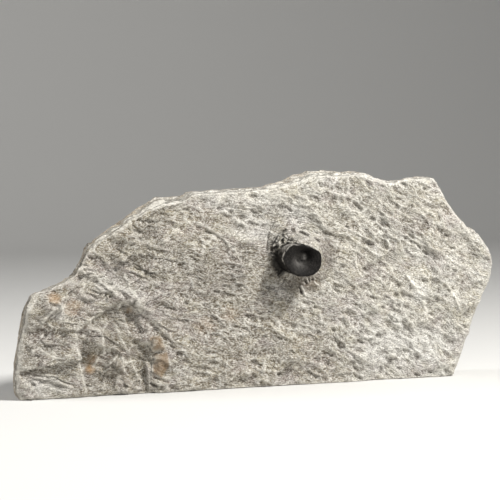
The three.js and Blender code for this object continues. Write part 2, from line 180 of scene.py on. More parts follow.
# Broad tones: x and z, half width, half height, and how pale (above 0) or dark (below 0) the patch is. Most
# are the stone's own tone; some are painted light and shade: the pale one low on the right and the dark one
# high on the right even out the key lamp's fall-off, the pale ones at (5, 57) and (-6, 61) lighten the
# bone's cast shadow, and the dark one at (-35, 60) darkens the middle where the key lamp falls strongest.
PATCH_SOFTNESS = 0.7
PATCHES = [
    (-104, 63, 14, 6, 0.7), (-131, 47, 8, 4, 0.6), (-86, 58, 9, 4, 0.5), (-138, 9, 16, 5, 0.7),
    (-121, 73, 6, 4, -0.5), (-74, 95, 9, 6, -0.6), (-86, 86, 8, 5, -0.5), (-70, 76, 10, 5, -0.5),
    (-102, 79, 9, 5, -0.4), (-147, 28, 9, 6, -0.5), (-108, 33, 10, 8, -0.5), (-57, 63, 9, 4, 0.3),
    (13, 99, 7, 5, 0.7), (5, 57, 7, 7, 0.4), (-6, 61, 8, 8, 0.5), (-15, 91, 16, 8, 0.7),
    (96, 54, 6, 8, 1.0), (118, 68, 6, 6, 0.5), (-25, 110, 30, 10, 0.65), (34, 20, 16, 9, -0.4),
    (44, 108, 14, 8, -0.5), (-42, 37, 10, 7, -0.3), (5, 30, 12, 9, 0.3),
    (85, 20, 34, 16, 1.0), (126, 62, 14, 18, 0.1), (72, 97, 28, 15, -0.45), (60, 62, 40, 14, -0.2),
    (-35, 60, 30, 22, -1.1), (-30, 28, 36, 14, -0.35), (-142, 32, 12, 10, -0.8), (-148, 22, 9, 7, -0.5),
]
# Single spots: x and z, half width, half height, softness of the edge, and strength. SHADED is painted
# shade: under and beside the bone, on the collar's right and over the middle; IRON and SHELL are stains.
SHADED = [
    (13.5, 58.5, 6.5, 5.5, 0.7, 0.85), (23, 61.5, 9, 4.5, 0.5, 1.0), (34, 77, 6, 10, 0.8, 0.9),
    (3, 70, 5, 7, 0.7, 0.8), (-32, 67, 19, 15, 0.7, 0.3),
]
IRON = [
    (-132.9, 56.3, 3.2, 3, 0.6, 0.9), (-110.3, 15.2, 2.3, 2.3, 0.6, 1.0),
    (-122.4, 50.4, 5, 4.5, 0.3, 0.4), (25.5, 59.5, 5, 3.5, 0.7, 0.15),
    (-42.6, 37.4, 6, 4, 0.8, 0.3), (-27.1, 42.7, 5, 4, 0.8, 0.25),
]
SHELL = [(-109.1, 20.8, 3, 3, 0.5, 0.8)]
# Forms of the bone's dish: place across and up from its axis, and spread in square mm. The last two only
# place painted light on the dish's lower left and painted shade on its upper-right wall.
BOWL, PIT, KNOB = (2.2, 2.2, 15), (3.2, 3.6, 4.5), (2.2, 0.9, 0.55)
PAINTED_LIT_SIDE, PAINTED_SHADOWED_SIDE = (-0.9, -0.6, 14), (3.4, 4, 12)


# ---------- Noise and distances, worked on whole arrays ----------

LAST = 4095  # highest chance number, and a mask that wraps any whole number into 0 to 4095
LAST_SLOPE = 255
dice = np.random.RandomState(23)
SHUFFLE = dice.permutation(LAST + 1)
SLOPES = dice.normal(size=(LAST_SLOPE + 1, 3))
SLOPES /= np.linalg.norm(SLOPES, axis=1)[:, None]


def fade(value, low, high):
    """0 below low, 1 above high, and a smooth step between them."""
    share = np.clip((value - low) / (high - low), 0, 1)
    return share * share * (3 - 2 * share)


def blend(a, b, share):
    """From a at share 0 to b at share 1."""
    return a + (b - a) * share


def cell_number(cells, seed):
    """A fixed chance number, 0 to LAST, for each whole-numbered cell."""
    number = np.full(len(cells), seed * 37)
    for axis in range(cells.shape[1]):
        number = SHUFFLE[(number + cells[:, axis]) & LAST]
    return number


def swell(points, size, seed):
    """Smooth rises and hollows, about -1 to 1. Size is the width of a rise in mm, or one width per axis."""
    cells = points / np.asarray(size, float)
    corner = np.floor(cells).astype(np.int64)
    inside = cells - corner
    ease = inside**3 * (inside * (inside * 6 - 15) + 10)
    total = np.zeros(len(points))
    for step in itertools.product((0, 1), repeat=cells.shape[1]):
        slope = SLOPES[cell_number(corner + step, seed) & LAST_SLOPE, : cells.shape[1]]
        share = np.prod(np.where(step, ease, 1 - ease), axis=1)
        total += share * np.einsum("ij,ij->i", slope, inside - step)
    return total * 1.7


def rough(points, size, seed, octaves=4):
    """Swells laid on each other, each half as wide and half as high as the last."""
    size = np.asarray(size, float)
    return sum(swell(points, size / 2**n, seed + n) / 2**n for n in range(octaves))


def crests(points, size, seed):
    """Sharp crests at 1 with round hollows between them."""
    return 1 - 2.4 * np.abs(swell(points, size, seed))


def scattered(points, size, seed):
    """For each cell round a point: the way from the cell's own spot, its chance, 0 to 1, and number."""
    cells = points / np.asarray(size, float)
    corner = np.floor(cells).astype(np.int64)
    for step in itertools.product((-1, 0, 1), repeat=cells.shape[1]):
        number = cell_number(corner + step, seed)
        shift = np.stack([SHUFFLE[(number + 97 * n) & LAST] for n in range(cells.shape[1])], axis=1)
        chance = SHUFFLE[(number + 1999) & LAST] / LAST
        yield cells - corner - step - (0.15 + 0.7 * shift / LAST), chance, number


def dimples(points, size, seed, share):
    """Round dimples, 0 to 1, in that share of the cells of a loose grid."""
    deepest = np.zeros(len(points))
    for away, chance, _ in scattered(points, size, seed):
        strength = np.where(chance < share, 0.4 + 0.6 * chance / share, 0)
        deepest = np.maximum(deepest, strength * np.exp(-9 * (away**2).sum(1)))
    return deepest


def scallops(points, size, seed):
    """Hollows that meet in sharp crests, as a pointed tool leaves them: about -0.4 in them, 0.6 on a crest.
    Also how near each place is to a crest, 0 to 1."""
    height, second = np.full((2, len(points)), 9.0)
    for away, chance, _ in scattered(points, size, seed):
        bowl = 0.7 * chance + 1.6 * (away**2).sum(1)
        second = np.minimum(second, np.maximum(bowl, height))
        height = np.minimum(height, bowl)
    return height - 0.45, 1 - fade(second - height, 0.03, 0.3)


def facets(points, size, seed):
    """Flat chips, tilted each its own way, that meet in edges as split stone does."""
    height = np.full(len(points), 9.0)
    for away, chance, number in scattered(points, size, seed):
        tilt = (away * SLOPES[number & LAST_SLOPE, : away.shape[1]]).sum(1)
        height = np.minimum(height, 0.5 * chance + 0.9 * tilt + 0.48 * (away**2).sum(1))
    return height


def turned(x, z, degrees):
    """Coordinates along and across a direction that runs down to the right at that angle."""
    lean = math.radians(degrees)
    along = x * math.cos(lean) - z * math.sin(lean)
    across = x * math.sin(lean) + z * math.cos(lean)
    return np.stack([along, across], axis=1)


def furrow_places(x, z, extra=0.0):
    """Coordinates along and across the furrows, whose lean grows from left to right, plus the extra."""
    line = np.linspace(-170, 170, 341)
    lean = np.radians(blend(LEFT_LEAN, RIGHT_LEAN, fade(line, -75, 55)) + extra)
    steepness = np.interp(x, line, np.cos(lean))
    along = np.interp(x, line, np.cumsum(1 / np.cos(lean)))
    across = (z + np.interp(x, line, np.cumsum(np.tan(lean)))) * steepness
    return np.stack([along, across], axis=1)


def path_distance(path, x, z):
    """Distance to a run of points, positive on its left, and the share of the run at the nearest place."""
    nearest = np.full(len(x), np.inf)
    side = np.ones(len(x))
    run = np.zeros(len(x))
    for n, ((ax, az), (bx, bz)) in enumerate(zip(path, path[1:])):
        dx, dz = bx - ax, bz - az
        share = np.clip(((x - ax) * dx + (z - az) * dz) / (dx * dx + dz * dz), 0, 1)
        distance = np.hypot(x - ax - share * dx, z - az - share * dz)
        closer = distance < nearest
        nearest[closer] = distance[closer]
        side[closer] = np.where(dx * (z - az) - dz * (x - ax) < 0, -1, 1)[closer]
        run[closer] = ((n + share) / (len(path) - 1))[closer]
    return nearest * side, run


def inside_distance(outline, x, z):
    """Distance to a closed outline, positive inside it."""
    closed = outline + outline[:1]
    distance = np.abs(path_distance(closed, x, z)[0])
    crossings = np.zeros(len(x), bool)
    for (ax, az), (bx, bz) in zip(closed, closed[1:]):
        spans = (az > z) != (bz > z)
        crossings ^= spans & (x < ax + (z - az) * (bx - ax) / (bz - az if bz != az else 1))
    return np.where(crossings, distance, -distance)


# ---------- Meshes ----------


def read(collection, name):
    """The three numbers of that name for each item."""
    values = np.empty(len(collection) * 3, np.float32)
    collection.foreach_get(name, values)
    return values.reshape(-1, 3).astype(float)


def store(mesh, name, values):
    """Keeps one number or one place per vertex for the material."""
    kind, field = ("FLOAT", "value") if values.ndim == 1 else ("FLOAT_VECTOR", "vector")
    mesh.attributes.new(name, kind, "POINT").data.foreach_set(field, values.astype(np.float32).ravel())


def settle(piece):
    """Applies the piece's modifiers to its mesh."""
    made = piece.evaluated_get(bpy.context.evaluated_depsgraph_get())
    mesh = bpy.data.meshes.new_from_object(made)
    piece.modifiers.clear()
    piece.data = mesh
    mesh.name = piece.name
    mesh.shade_smooth()


def fine_copy(node, name, grain, rounds):
    """A closed copy of a CAD node, in even faces as wide as the grain, with its facets smoothed off."""
    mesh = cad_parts[node].data.copy()
    mesh.materials.clear()
    skin = bmesh.new()
    skin.from_mesh(mesh)
    bmesh.ops.remove_doubles(skin, verts=skin.verts, dist=0.001 * MM)
    skin.to_mesh(mesh)
    skin.free()
    piece = bpy.data.objects.new(name, mesh)
    bpy.context.scene.collection.objects.link(piece)
    remesh = piece.modifiers.new("remesh", "REMESH")
    remesh.mode = "VOXEL"
    remesh.voxel_size = grain * MM
    soften = piece.modifiers.new("soften", "SMOOTH")
    soften.factor = 0.5
    soften.iterations = rounds
    settle(piece)
    return piece


def places_of(piece):
    """Vertex places and outward directions, in mm."""
    mesh = piece.data
    return read(mesh.vertices, "co") / MM, read(mesh.vertex_normals, "vector")


def move_to(piece, places):
    """Moves the vertices to those places, in mm."""
    piece.data.vertices.foreach_set("co", (places * MM).astype(np.float32).ravel())
    piece.data.update()


def evened(piece, values, rounds):
    """Values of the vertices, drawn that many times towards the mean of their neighbours."""
    edges = np.empty(len(piece.data.edges) * 2, np.int64)
    piece.data.edges.foreach_get("vertices", edges)
    a, b = edges.reshape(-1, 2).T
    size = len(values)
    count = np.bincount(a, minlength=size) + np.bincount(b, minlength=size)
    columns = []
    for column in values.reshape(size, -1).T:
        for _ in range(rounds):
            near = np.bincount(a, column[b], size) + np.bincount(b, column[a], size)
            column = 0.4 * column + 0.6 * near / count
        columns.append(column)
    return np.stack(columns, axis=1).reshape(values.shape)


def height_over_neighbours(piece, places, normals, rounds):
    """How far each vertex stands over the surface round it, once that is smoothed, in mm."""
    return np.einsum("ij,ij->i", places - evened(piece, places, rounds), normals)


# ---------- The slab's relief, in mm outward ----------


def zones(x, z):
    """How far a place belongs to the steep furrows on the right, and to the split ledges on the left."""
    face = np.stack([x, z], axis=1)
    right = fade(x + 14 * swell(face, 38, 33), 15, 60)
    left = fade(-x + 12 * swell(face, 30, 34), 45, 85)
    return right, left


def chisel_marks(x, z):
    """Scalloped furrows of the air pen: coarse on the right, fine and crossed in the middle, faint left.
    Also where their crests run, 0 to 1."""
    face = np.stack([x, z], axis=1)
    right, left = zones(x, z)
    bend_x = x + 1.8 * swell(face, 15, 31) + 0.7 * swell(face, 5, 35)
    bend_z = z + 1.8 * swell(face, 15, 32) + 0.7 * swell(face, 5, 36)
    lie = furrow_places(bend_x, bend_z)
    worked = blend(0.35, 1.3, fade(swell(face, 15, 37), -0.5, 0.5)) * (1 - 0.4 * fade(x, 95, 130))
    coarse, coarse_crests = scallops(lie, COARSE, 41)
    small, small_crests = scallops(lie, SMALL, 43)
    relief = blend(0.95, 1.5, right) * worked * coarse + blend(0.9, 0.85, right) * worked * small
    relief += 0.2 * scallops(lie, FINE, 45)[0]
    relief *= 1 - 0.6 * left
    crossed = scallops(furrow_places(bend_x, bend_z, CROSSED_TURN), CROSSED, 47)[0]
    relief += 0.4 * (1.6 - worked) * crossed * (1 - 0.7 * right) * (1 - 0.4 * left)
    bands = crests(turned(bend_x, bend_z, -9), (26, 9), 49)
    relief += 0.45 * bands * (1 - right) * (1 - 0.5 * left)
    whole = fade(swell(face, 5, 39), -0.35, 0.2)
    return relief, np.maximum(coarse_crests, 0.75 * small_crests) * whole * worked / 1.3


def ledges(x, z, lean, step, seed):
    """Thin leaves of the bed, broken off in short ragged lips at that lean."""
    face = turned(x, z, lean)
    level = face[:, 1] / step + 1.2 * rough(face, (30, 12), seed, 4)
    part = level - np.floor(level)
    return fade(swell(face, (13, 8), seed + 7), -0.25, 0.45) * (fade(part, 0.0, 0.14) - part)


def thin_ridges(x, z):
    """Thin raised lines, long and broken, where the split stone of the left parted: 0 to 1."""
    face = np.stack([x, z], axis=1)
    down = np.abs(rough(turned(x, z, 32), (20, 8), 151, 3))
    up = np.abs(rough(turned(x, z, -38), (22, 11), 155, 3))
    there = fade(swell(face, 9, 158), -0.15, 0.25)
    lines = np.maximum((1 - fade(down, 0, 0.13)) * there, (1 - fade(up, 0, 0.1)) * (1 - there))
    return lines * fade(swell(face, 3.5, 159), -0.5, 0.1)


def wavering(x, z):
    """Coordinates shaken a little, so that a line drawn straight in them runs unevenly."""
    face = np.stack([x, z], axis=1)
    waver_x = 0.7 * swell(face, 6, 70) + 0.4 * swell(face, 2.6, 71)
    waver_z = 0.7 * swell(face, 6, 68) + 0.4 * swell(face, 2.6, 69)
    return x + waver_x, z + waver_z


def line_height(lines, x, z):
    """How far the thin lines stand out, or cut in: wavering, and broken along their length."""
    broken = blend(0.25, 1, fade(swell(np.stack([x, z], axis=1), 3.6, 73), -0.4, 0.1))
    shaken_x, shaken_z = wavering(x, z)
    height = np.zeros(len(x))
    for path, tall, half in lines:
        distance, run = path_distance(path, shaken_x, shaken_z)
        ends = fade(run, 0, 0.08) * (1 - fade(run, 0.92, 1))
        height = np.maximum(height, ends * tall * np.exp(-((distance / half) ** 2)))
    return height * broken


def scarps(x, z):
    """The named scarps: their relief, and the lips and feet where painted highlight and painted shade go.
    """
    patchy = blend(0.3, 1, fade(swell(np.stack([x, z], axis=1), 7, 72), -0.45, 0.35))
    shaken_x, shaken_z = wavering(x, z)
    relief, lip, foot = np.zeros((3, len(x)))
    for path, drop, reach in SCARPS:
        distance, run = path_distance(path, shaken_x, shaken_z)
        ends = fade(run, 0, 0.15) * (1 - fade(run, 0.85, 1)) * patchy
        relief -= ends * drop * fade(-distance, -0.3, 0.7) * (1 - fade(-distance, 1.5, reach))
        relief += ends * 0.2 * np.exp(-((distance - 0.7) ** 2))
        lip = np.maximum(lip, ends * np.exp(-((distance - 0.5) ** 2) / 0.5))
        foot = np.maximum(foot, ends * np.exp(-((distance + 1.2) ** 2) / 1.0))
    return relief, lip, foot


def named_forms(x, z):
    """The recess with its blocks, and the scarps, cracks, veins and single pits."""
    face = np.stack([x, z], axis=1)
    wobble = 0.8 * swell(face, 6, 70) + 0.6 * swell(face, 2.6, 71)
    patchy = fade(swell(face, 7, 72), -0.45, 0.35)
    inside = inside_distance(RECESS, x, z) + wobble
    relief = -0.8 * blend(0.3, 1, patchy) * fade(inside, -0.8, 1.5) * (1 - fade(inside, 2, 9))
    relief -= 0.3 * fade(inside, -0.3, 2)
    relief += 0.25 * fade(inside, -3, -0.5) * (1 - fade(inside, -0.5, 0.4)) * patchy
    for outline, height, _ in BLOCKS:
        block = inside_distance(outline, x, z) + 0.9 * wobble
        relief += height * fade(block, -0.8, 1.2)
        relief -= 0.5 * height * patchy * np.exp(-((block + 1.1) ** 2) / 0.7)
    relief += scarps(x, z)[0] + line_height(VEINS_AND_CRESTS, x, z) - line_height(CRACKS, x, z)
    for long, wide, depth, places in PITS:
        for px, pz in places:
            lean = RIGHT_PIT_LEAN if px > 0 else LEFT_PIT_LEAN
            lie = turned(x - px, z - pz, lean) / (long, wide)
            relief -= depth * (1 - fade(np.hypot(lie[:, 0], lie[:, 1]) + 0.25 * wobble, 0.35, 1.15))
    return relief


def ring_marks(x, z):
    """Marks left while the bone was freed: broken rings on its right, and short strokes below it."""
    dx, dz = x - BONE_AXIS[0], z - BONE_AXIS[1]
    away, angle = np.hypot(dx, dz), np.arctan2(dz, dx)
    shaken = away + 0.7 * swell(np.stack([x, z], axis=1), 5, 80)
    rings = crests(np.stack([shaken, angle * 9], axis=1), (2.4, 6), 81)
    strokes = crests(np.stack([angle * 15, away], axis=1), (2.0, 6), 83)
    near = 1 - fade(away, 16, 26)
    below = fade(-np.sin(angle), 0.1, 0.7)
    level = blend(0.05, 0.8, fade(np.cos(angle), -0.1, 0.7))
    close = 1 - fade(away, 15, 19)
    return near, blend(level * rings, (0.3 + 0.6 * close) * strokes, below)


def front_relief(x, z):
    """The prepared face: chiselled at the right and middle, split at the left, ringed at the bone."""
    face = np.stack([x, z], axis=1)
    near_bone, marks = ring_marks(x, z)
    _, left = zones(x, z)
    split = sum(height * facets(turned(x, z, lean), size, seed) for height, lean, size, seed in CHIPS)
    split += sum(height * ledges(x, z, lean, step, seed) for height, lean, step, seed in LEDGES)
    chiselled = chisel_marks(x, z)[0]
    relief = blend(chiselled, marks + 0.45 * chiselled, near_bone)
    relief += split * blend(0.2, 1, left) + 0.5 * thin_ridges(x, z) * left
    relief += named_forms(x, z)
    relief += 0.45 * swell(face, 13, 91) + 0.25 * swell(face, 7, 92)
    return relief


def leaf_joints(p):
    """The broken edge's leaves: how near a joint each place is, 0 to 1, and how far its leaf stands out."""
    bend = 0.9 * swell(p, (26, 40, 26), 101)
    level = (p[:, 1] + 3 * bend) / 3.1 + 0.5 * swell(p, (9, 3, 9), 102)
    whole = np.floor(level)
    stand = SHUFFLE[(whole.astype(np.int64) * 53 + 700) & LAST] / LAST - 0.5
    joint = np.exp(-((level - whole - 0.02) ** 2) / 0.006)
    main = np.exp(-((p[:, 1] - BEDDING_Y - bend) ** 2) / 0.5)
    return np.maximum(0.6 * joint, main), stand * fade(level - whole, 0, 0.2)


def wall_relief(p):
    """Broken edges: bedding leaves along the slab, and rough breaks across them."""
    joint, stand = leaf_joints(p)
    away = np.hypot(p[:, 0] - RIGHT_CORNER[0], p[:, 2] - RIGHT_CORNER[1])
    corner = 1.6 * np.exp(-((away / 4) ** 2))
    return corner + 0.6 * stand - 1.0 * joint + 0.8 * rough(p, (7, 5, 7), 103, 3)


def back_relief(x, z):
    """The split back: flat leaves with ragged scarps, and a fine grain."""
    face = np.stack([x, z], axis=1)
    level = 0.035 * z - 0.02 * x + 1.5 * rough(face, 48, 111, 4)
    whole = np.floor(level)
    relief = 0.9 * (fade(level - whole, 0.0, 0.1) - 0.75 * (level - whole))
    relief += 0.3 * rough(face, 8, 115, 3)
    return relief


def rubble_share(p):
    """Where the collar is loose rubble: on its left, close to the bone."""
    dx, dz = p[:, 0] - BONE_AXIS[0], p[:, 2] - BONE_AXIS[1]
    angle = np.degrees(np.arctan2(dz, dx)) % 360
    collar = fade(FRONT_Y - p[:, 1], 0.5, 2)
    collar *= 1 - fade(np.hypot(dx, dz) + 3.5 * fade(angle, 160, 180), 16, 19)
    return collar * fade(angle, 95, 115) * (1 - fade(angle, 225, 250))


def collar_relief(p):
    """The stone left round the bone: as the front, ringed on its top, with rubble on its left."""
    x, z = p[:, 0], p[:, 2]
    angle = np.arctan2(z - BONE_AXIS[1], x - BONE_AXIS[0])
    proud = fade(FRONT_Y - p[:, 1], 1.5, 4)
    relief = front_relief(x, z) * (1 - 0.6 * proud)
    rings = crests(np.stack([angle * 12, p[:, 1] + swell(p, 5, 120)], axis=1), (6, 1.9), 121)
    relief += proud * 0.4 * rings
    relief += rubble_share(p) * (0.5 * crests(p, 2.2, 123) - 1.8 * dimples(p, 2.6, 125, 0.5))
    return relief


def carve(slab):
    """Gives each side of the slab its relief, and keeps the sawn base flat."""
    places, normals = places_of(slab)
    x, y, z = places.T
    front = fade(-normals[:, 1], 0.35, 0.75)
    back = fade(normals[:, 1], 0.45, 0.8)
    base = fade(-normals[:, 2], 0.6, 0.9) * (z < 1.5)
    wall = np.clip(1 - front - back, 0, 1)
    inner = blend(0.35, 1, fade(evened(slab, -normals[:, 1], 25), 0.7, 0.97))
    relief = front * inner * front_relief(x, z) + back * back_relief(x, z) + wall * wall_relief(places)
    collar = (np.hypot(x - BONE_AXIS[0], z - BONE_AXIS[1]) < COLLAR_REACH) & (y < 0)
    relief[collar] = collar_relief(places[collar])
    relief *= 1 - base
    places += normals * relief[:, None]
    places[:, 2] = np.where(base > 0.5, 0, places[:, 2])
    return places


def fit_to_box(places, low, high):
    """Stretches the places of a carved piece to the box of its CAD node."""
    for axis in range(3):
        bottom, top = places[:, axis].min(), places[:, axis].max()
        places[:, axis] = low[axis] + (places[:, axis] - bottom) * (high[axis] - low[axis]) / (top - bottom)
    return places


def thin_out(piece, part, triangles):
    """Merges faces where that part of the piece is plainest, down to about that many triangles in it."""
    now = sum(len(face.vertices) - 2 for face in piece.data.polygons)
    there = 2 * int(part.sum())
    group = piece.vertex_groups.new(name="part")
    group.add(np.flatnonzero(part).tolist(), 1.0, "REPLACE")
    thin = piece.modifiers.new("thin", "DECIMATE")
    thin.vertex_group = group.name
    thin.ratio = min(1, (now - there + triangles) / now)
    settle(piece)
    piece.vertex_groups.clear()


def make_slab():
    """The stone: carved in fine even faces, then thinned, most where it is plain."""
    slab = fine_copy("matrix_slab", "matrix_slab_stone", SLAB_GRAIN, 6)
    low, high = (np.array(corner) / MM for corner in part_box("matrix_slab"))
    move_to(slab, fit_to_box(carve(slab), low, high))
    thin_out(slab, places_of(slab)[1][:, 1] > FRONT_FACING, OTHER_TRIANGLES)
    thin_out(slab, places_of(slab)[1][:, 1] <= FRONT_FACING, FRONT_TRIANGLES)
    move_to(slab, np.clip(places_of(slab)[0], low, high))  # merged faces may stand a hair past the box
    mark_stone(slab)
    return slab


# ---------- What the stone's material reads ----------


def spot(x, z, place_x, place_z, wide, high, softness):
    """A soft round or oval patch, 0 to 1."""
    away = np.hypot((x - place_x) / wide, (z - place_z) / high)
    return 1 - fade(away, 1 - softness, 1 + softness)


def stain_and_shade_spots(x, z, spots):
    """The named spots laid on each other, each as dark as its strength."""
    return sum(strength * spot(x, z, *where) for *where, strength in spots)


def mark_relief(slab, places, normals, front):
    """Painted highlights on the crests and edge of the carved surface, painted shade in its hollows, and
    the pale and dark lines on it, the pale ones partly painted highlight.
    """
    x, z = places[:, 0], places[:, 2]
    fine = height_over_neighbours(slab, places, normals, 6)
    broad = height_over_neighbours(slab, places, normals, 50)
    left = zones(x, z)[1]
    _, lip, foot = scarps(x, z)
    # painted highlight on the crests, by how far each place stands over its neighbours
    store(slab.data, "crest", fade(fine, 0.02, 0.15) * (1 - 0.4 * left))
    # painted highlight along the crests between the scallops
    store(slab.data, "net", chisel_marks(x, z)[1] * (1 - 0.7 * left) * front)
    # painted shade in the fine and broad hollows and at the scarps' feet
    hollow = fade(-fine, 0.02, 0.15) * 0.5 + fade(-broad, 0.1, 0.7) * 0.7 * (1 - 0.75 * left)
    store(slab.data, "hollow", hollow + 0.35 * foot * front)
    # painted highlight along the front's rounded edge
    arris = fade(0.86 - evened(slab, -normals[:, 1], 9), 0, 0.3)
    arris *= fade(np.hypot(x - BONE_AXIS[0], z - BONE_AXIS[1]), COLLAR_REACH - 2, COLLAR_REACH + 4)
    store(slab.data, "rim", arris * fade(-normals[:, 1], 0.2, 0.5))
    # painted highlight on the scarps' lips, the left's thin ridges and the raised crests, with the veins'
    # own calcite white
    lines = np.maximum(0.6 * lip, 0.45 * left * thin_ridges(x, z))
    lines = np.maximum(lines, 1.7 * line_height(VEINS_AND_CRESTS, x, z))
    store(slab.data, "vein_and_lit_lip", np.clip(lines, 0, 1) * front)
    store(slab.data, "crack", np.clip(1.2 * line_height(CRACKS, x, z) - 0.1, 0, 1) * front)


def mark_lie(slab, places, front):
    """Coordinates along and across the furrows on the front, and plain ones elsewhere, for the grain."""
    x, y, z = places.T
    face = np.stack([x, z], axis=1)
    along, across = furrow_places(x + 3 * swell(face, 15, 31), z + 3 * swell(face, 15, 32)).T
    lie = np.where(front[:, None] > 0.5, np.stack([along, across, y], axis=1), places * (0.5, 1, 1))
    store(slab.data, "lie", lie * MM)


def mark_tones(slab, places, front):
    """The paler right half, and the broad pale and grey patches, some of them painted light and painted
    shade.
    """
    x, z = places[:, 0], places[:, 2]
    face = np.stack([x, z], axis=1)
    store(slab.data, "pale", fade(x + 0.6 * (z - 75) + 8 * rough(face, 14, 201, 3), -30, 65))
    broken = 1 + 0.35 * swell(face, 6, 205)
    tone = 0.45 * rough(turned(x, z, 20), (24, 12), 207, 3)
    for *where, strength in PATCHES:
        tone += strength * spot(x, z, *where, PATCH_SOFTNESS) * broken
    store(slab.data, "pale_and_lit_patch", np.clip(tone, 0, 1) * front)
    store(slab.data, "grey_and_shaded_patch", np.clip(-tone, 0, 1) * front)


def mark_stains_and_shade(slab, places, normals, front):
    """Painted shade in the recess, round and below the bone, over the middle and on the left-facing walls
    of the slab's left end; the dark grey of the plain stone blocks; iron stains and brown shell.
    """
    x, z = places[:, 0], places[:, 2]
    face = np.stack([x, z], axis=1)
    # painted shade in the recess, weaker near the base and at its top
    recess = fade(inside_distance(RECESS, x, z) + 2.5 * swell(face, 6, 203), -0.5, 2.5)
    shade = 0.38 * recess * (1 - 0.4 * fade(z, 14, 0)) * (1 - 0.5 * fade(z, 43, 49))
    # painted shade under and beside the bone, on the collar's right and over the middle
    shade += stain_and_shade_spots(x, z, SHADED)
    shell = stain_and_shade_spots(x, z, SHELL)
    # the brown blocks go to the shell mark, the others' own dark grey to the painted shade's mark
    for outline, _, brown in BLOCKS:
        block = fade(inside_distance(outline, x, z) + 0.9 * swell(face, 4, 209), -0.8, 1.0)
        shell = np.maximum(shell, brown * block)
        shade = np.maximum(shade, (1 - brown) * block)
    # painted shade on the walls that face left at the slab's left end
    shaded_left_wall = 0.7 * fade(-normals[:, 0], 0.4, 0.9) * fade(-x, 60, 120)
    store(slab.data, "shade", np.maximum(np.clip(shade, 0, 1) * front, shaded_left_wall))
    store(slab.data, "iron", np.clip(stain_and_shade_spots(x, z, IRON), 0, 1) * front)
    store(slab.data, "shell", shell * front)


def mark_rubble(slab, places):
    """Splinters of black bone in the collar's rubble; on its flank below that, close to the bone, the same
    near-black is partly rubble and partly painted shade.
    """
    x, y, z = places.T
    turn = np.degrees(np.arctan2(z - BONE_AXIS[1], x - BONE_AXIS[0])) % 360
    loose = swell(places, 1.6, 213) - blend(0.05, -0.6, fade(turn, 150, 180))
    away = np.hypot(x - BONE_AXIS[0], z - BONE_AXIS[1]) + 1.2 * swell(places, 3, 217)
    # painted shade on the flank beside the bone, as black as the splinters
    flank = fade(turn, 162, 180) * (1 - fade(turn, 225, 245)) * fade(-y, 1, 3)
    flank *= 1 - fade(away, 12.5, 14.5)
    store(slab.data, "bone_grit_and_shade", np.maximum(rubble_share(places), flank) * fade(loose, -0.1, 0.1))


def mark_broken_edge(slab, places, normals, front):
    """Joints between the leaves of the broken edge, and the weathered bed behind the front one."""
    y = places[:, 1]
    wall = (1 - front) * (1 - fade(normals[:, 1], 0.3, 0.6))
    store(slab.data, "leaf", leaf_joints(places)[0] * wall * fade(y, -2, 1))
    store(slab.data, "bed_stain", (1 - front) * fade(y + 1.5 * swell(places, 7, 215), -2, 2))


def mark_stone(slab):
    """Stores, for each vertex, how strongly each tone of the limestone shows there."""
    places, normals = places_of(slab)
    front = fade(-normals[:, 1], 0.2, 0.6)
    mark_relief(slab, places, normals, front)
    mark_lie(slab, places, front)
    mark_tones(slab, places, front)
    mark_stains_and_shade(slab, places, normals, front)
    mark_rubble(slab, places)
    mark_broken_edge(slab, places, normals, front)


# ---------- The bone ----------


def bone_places(places):
    """Each point across, up and along the bone, its angle round it, and its share of the rim's radius."""
    lay = Matrix.Rotation(-BONE_LEFT, 3, "Z") @ Matrix.Rotation(math.radians(90) + BONE_DOWN, 3, "X")
    local = (places - (BONE_AXIS[0], FRONT_Y, BONE_AXIS[1])) @ np.array(lay)
    across, up, height = local.T
    height = height + BONE_LENGTH - height.max()
    angle, radius = np.arctan2(up, across), np.hypot(across, up)
    slots = 72
    turn = np.linspace(-math.pi, math.pi, slots + 1)
    slot = np.clip(((angle + math.pi) / (2 * math.pi) * slots).round().astype(int), 0, slots)
    rim = np.zeros(slots + 1)
    np.maximum.at(rim, slot, radius)
    rim[0] = rim[slots] = max(rim[0], rim[slots])
    return across, up, height, angle, radius / np.interp(angle, turn, rim)


def mound(across, up, form):
    """A round form on the bone's open face, 1 in its middle."""
    centre, height, spread = form
    return np.exp(-((across - centre) ** 2 + (up - height) ** 2) / spread)


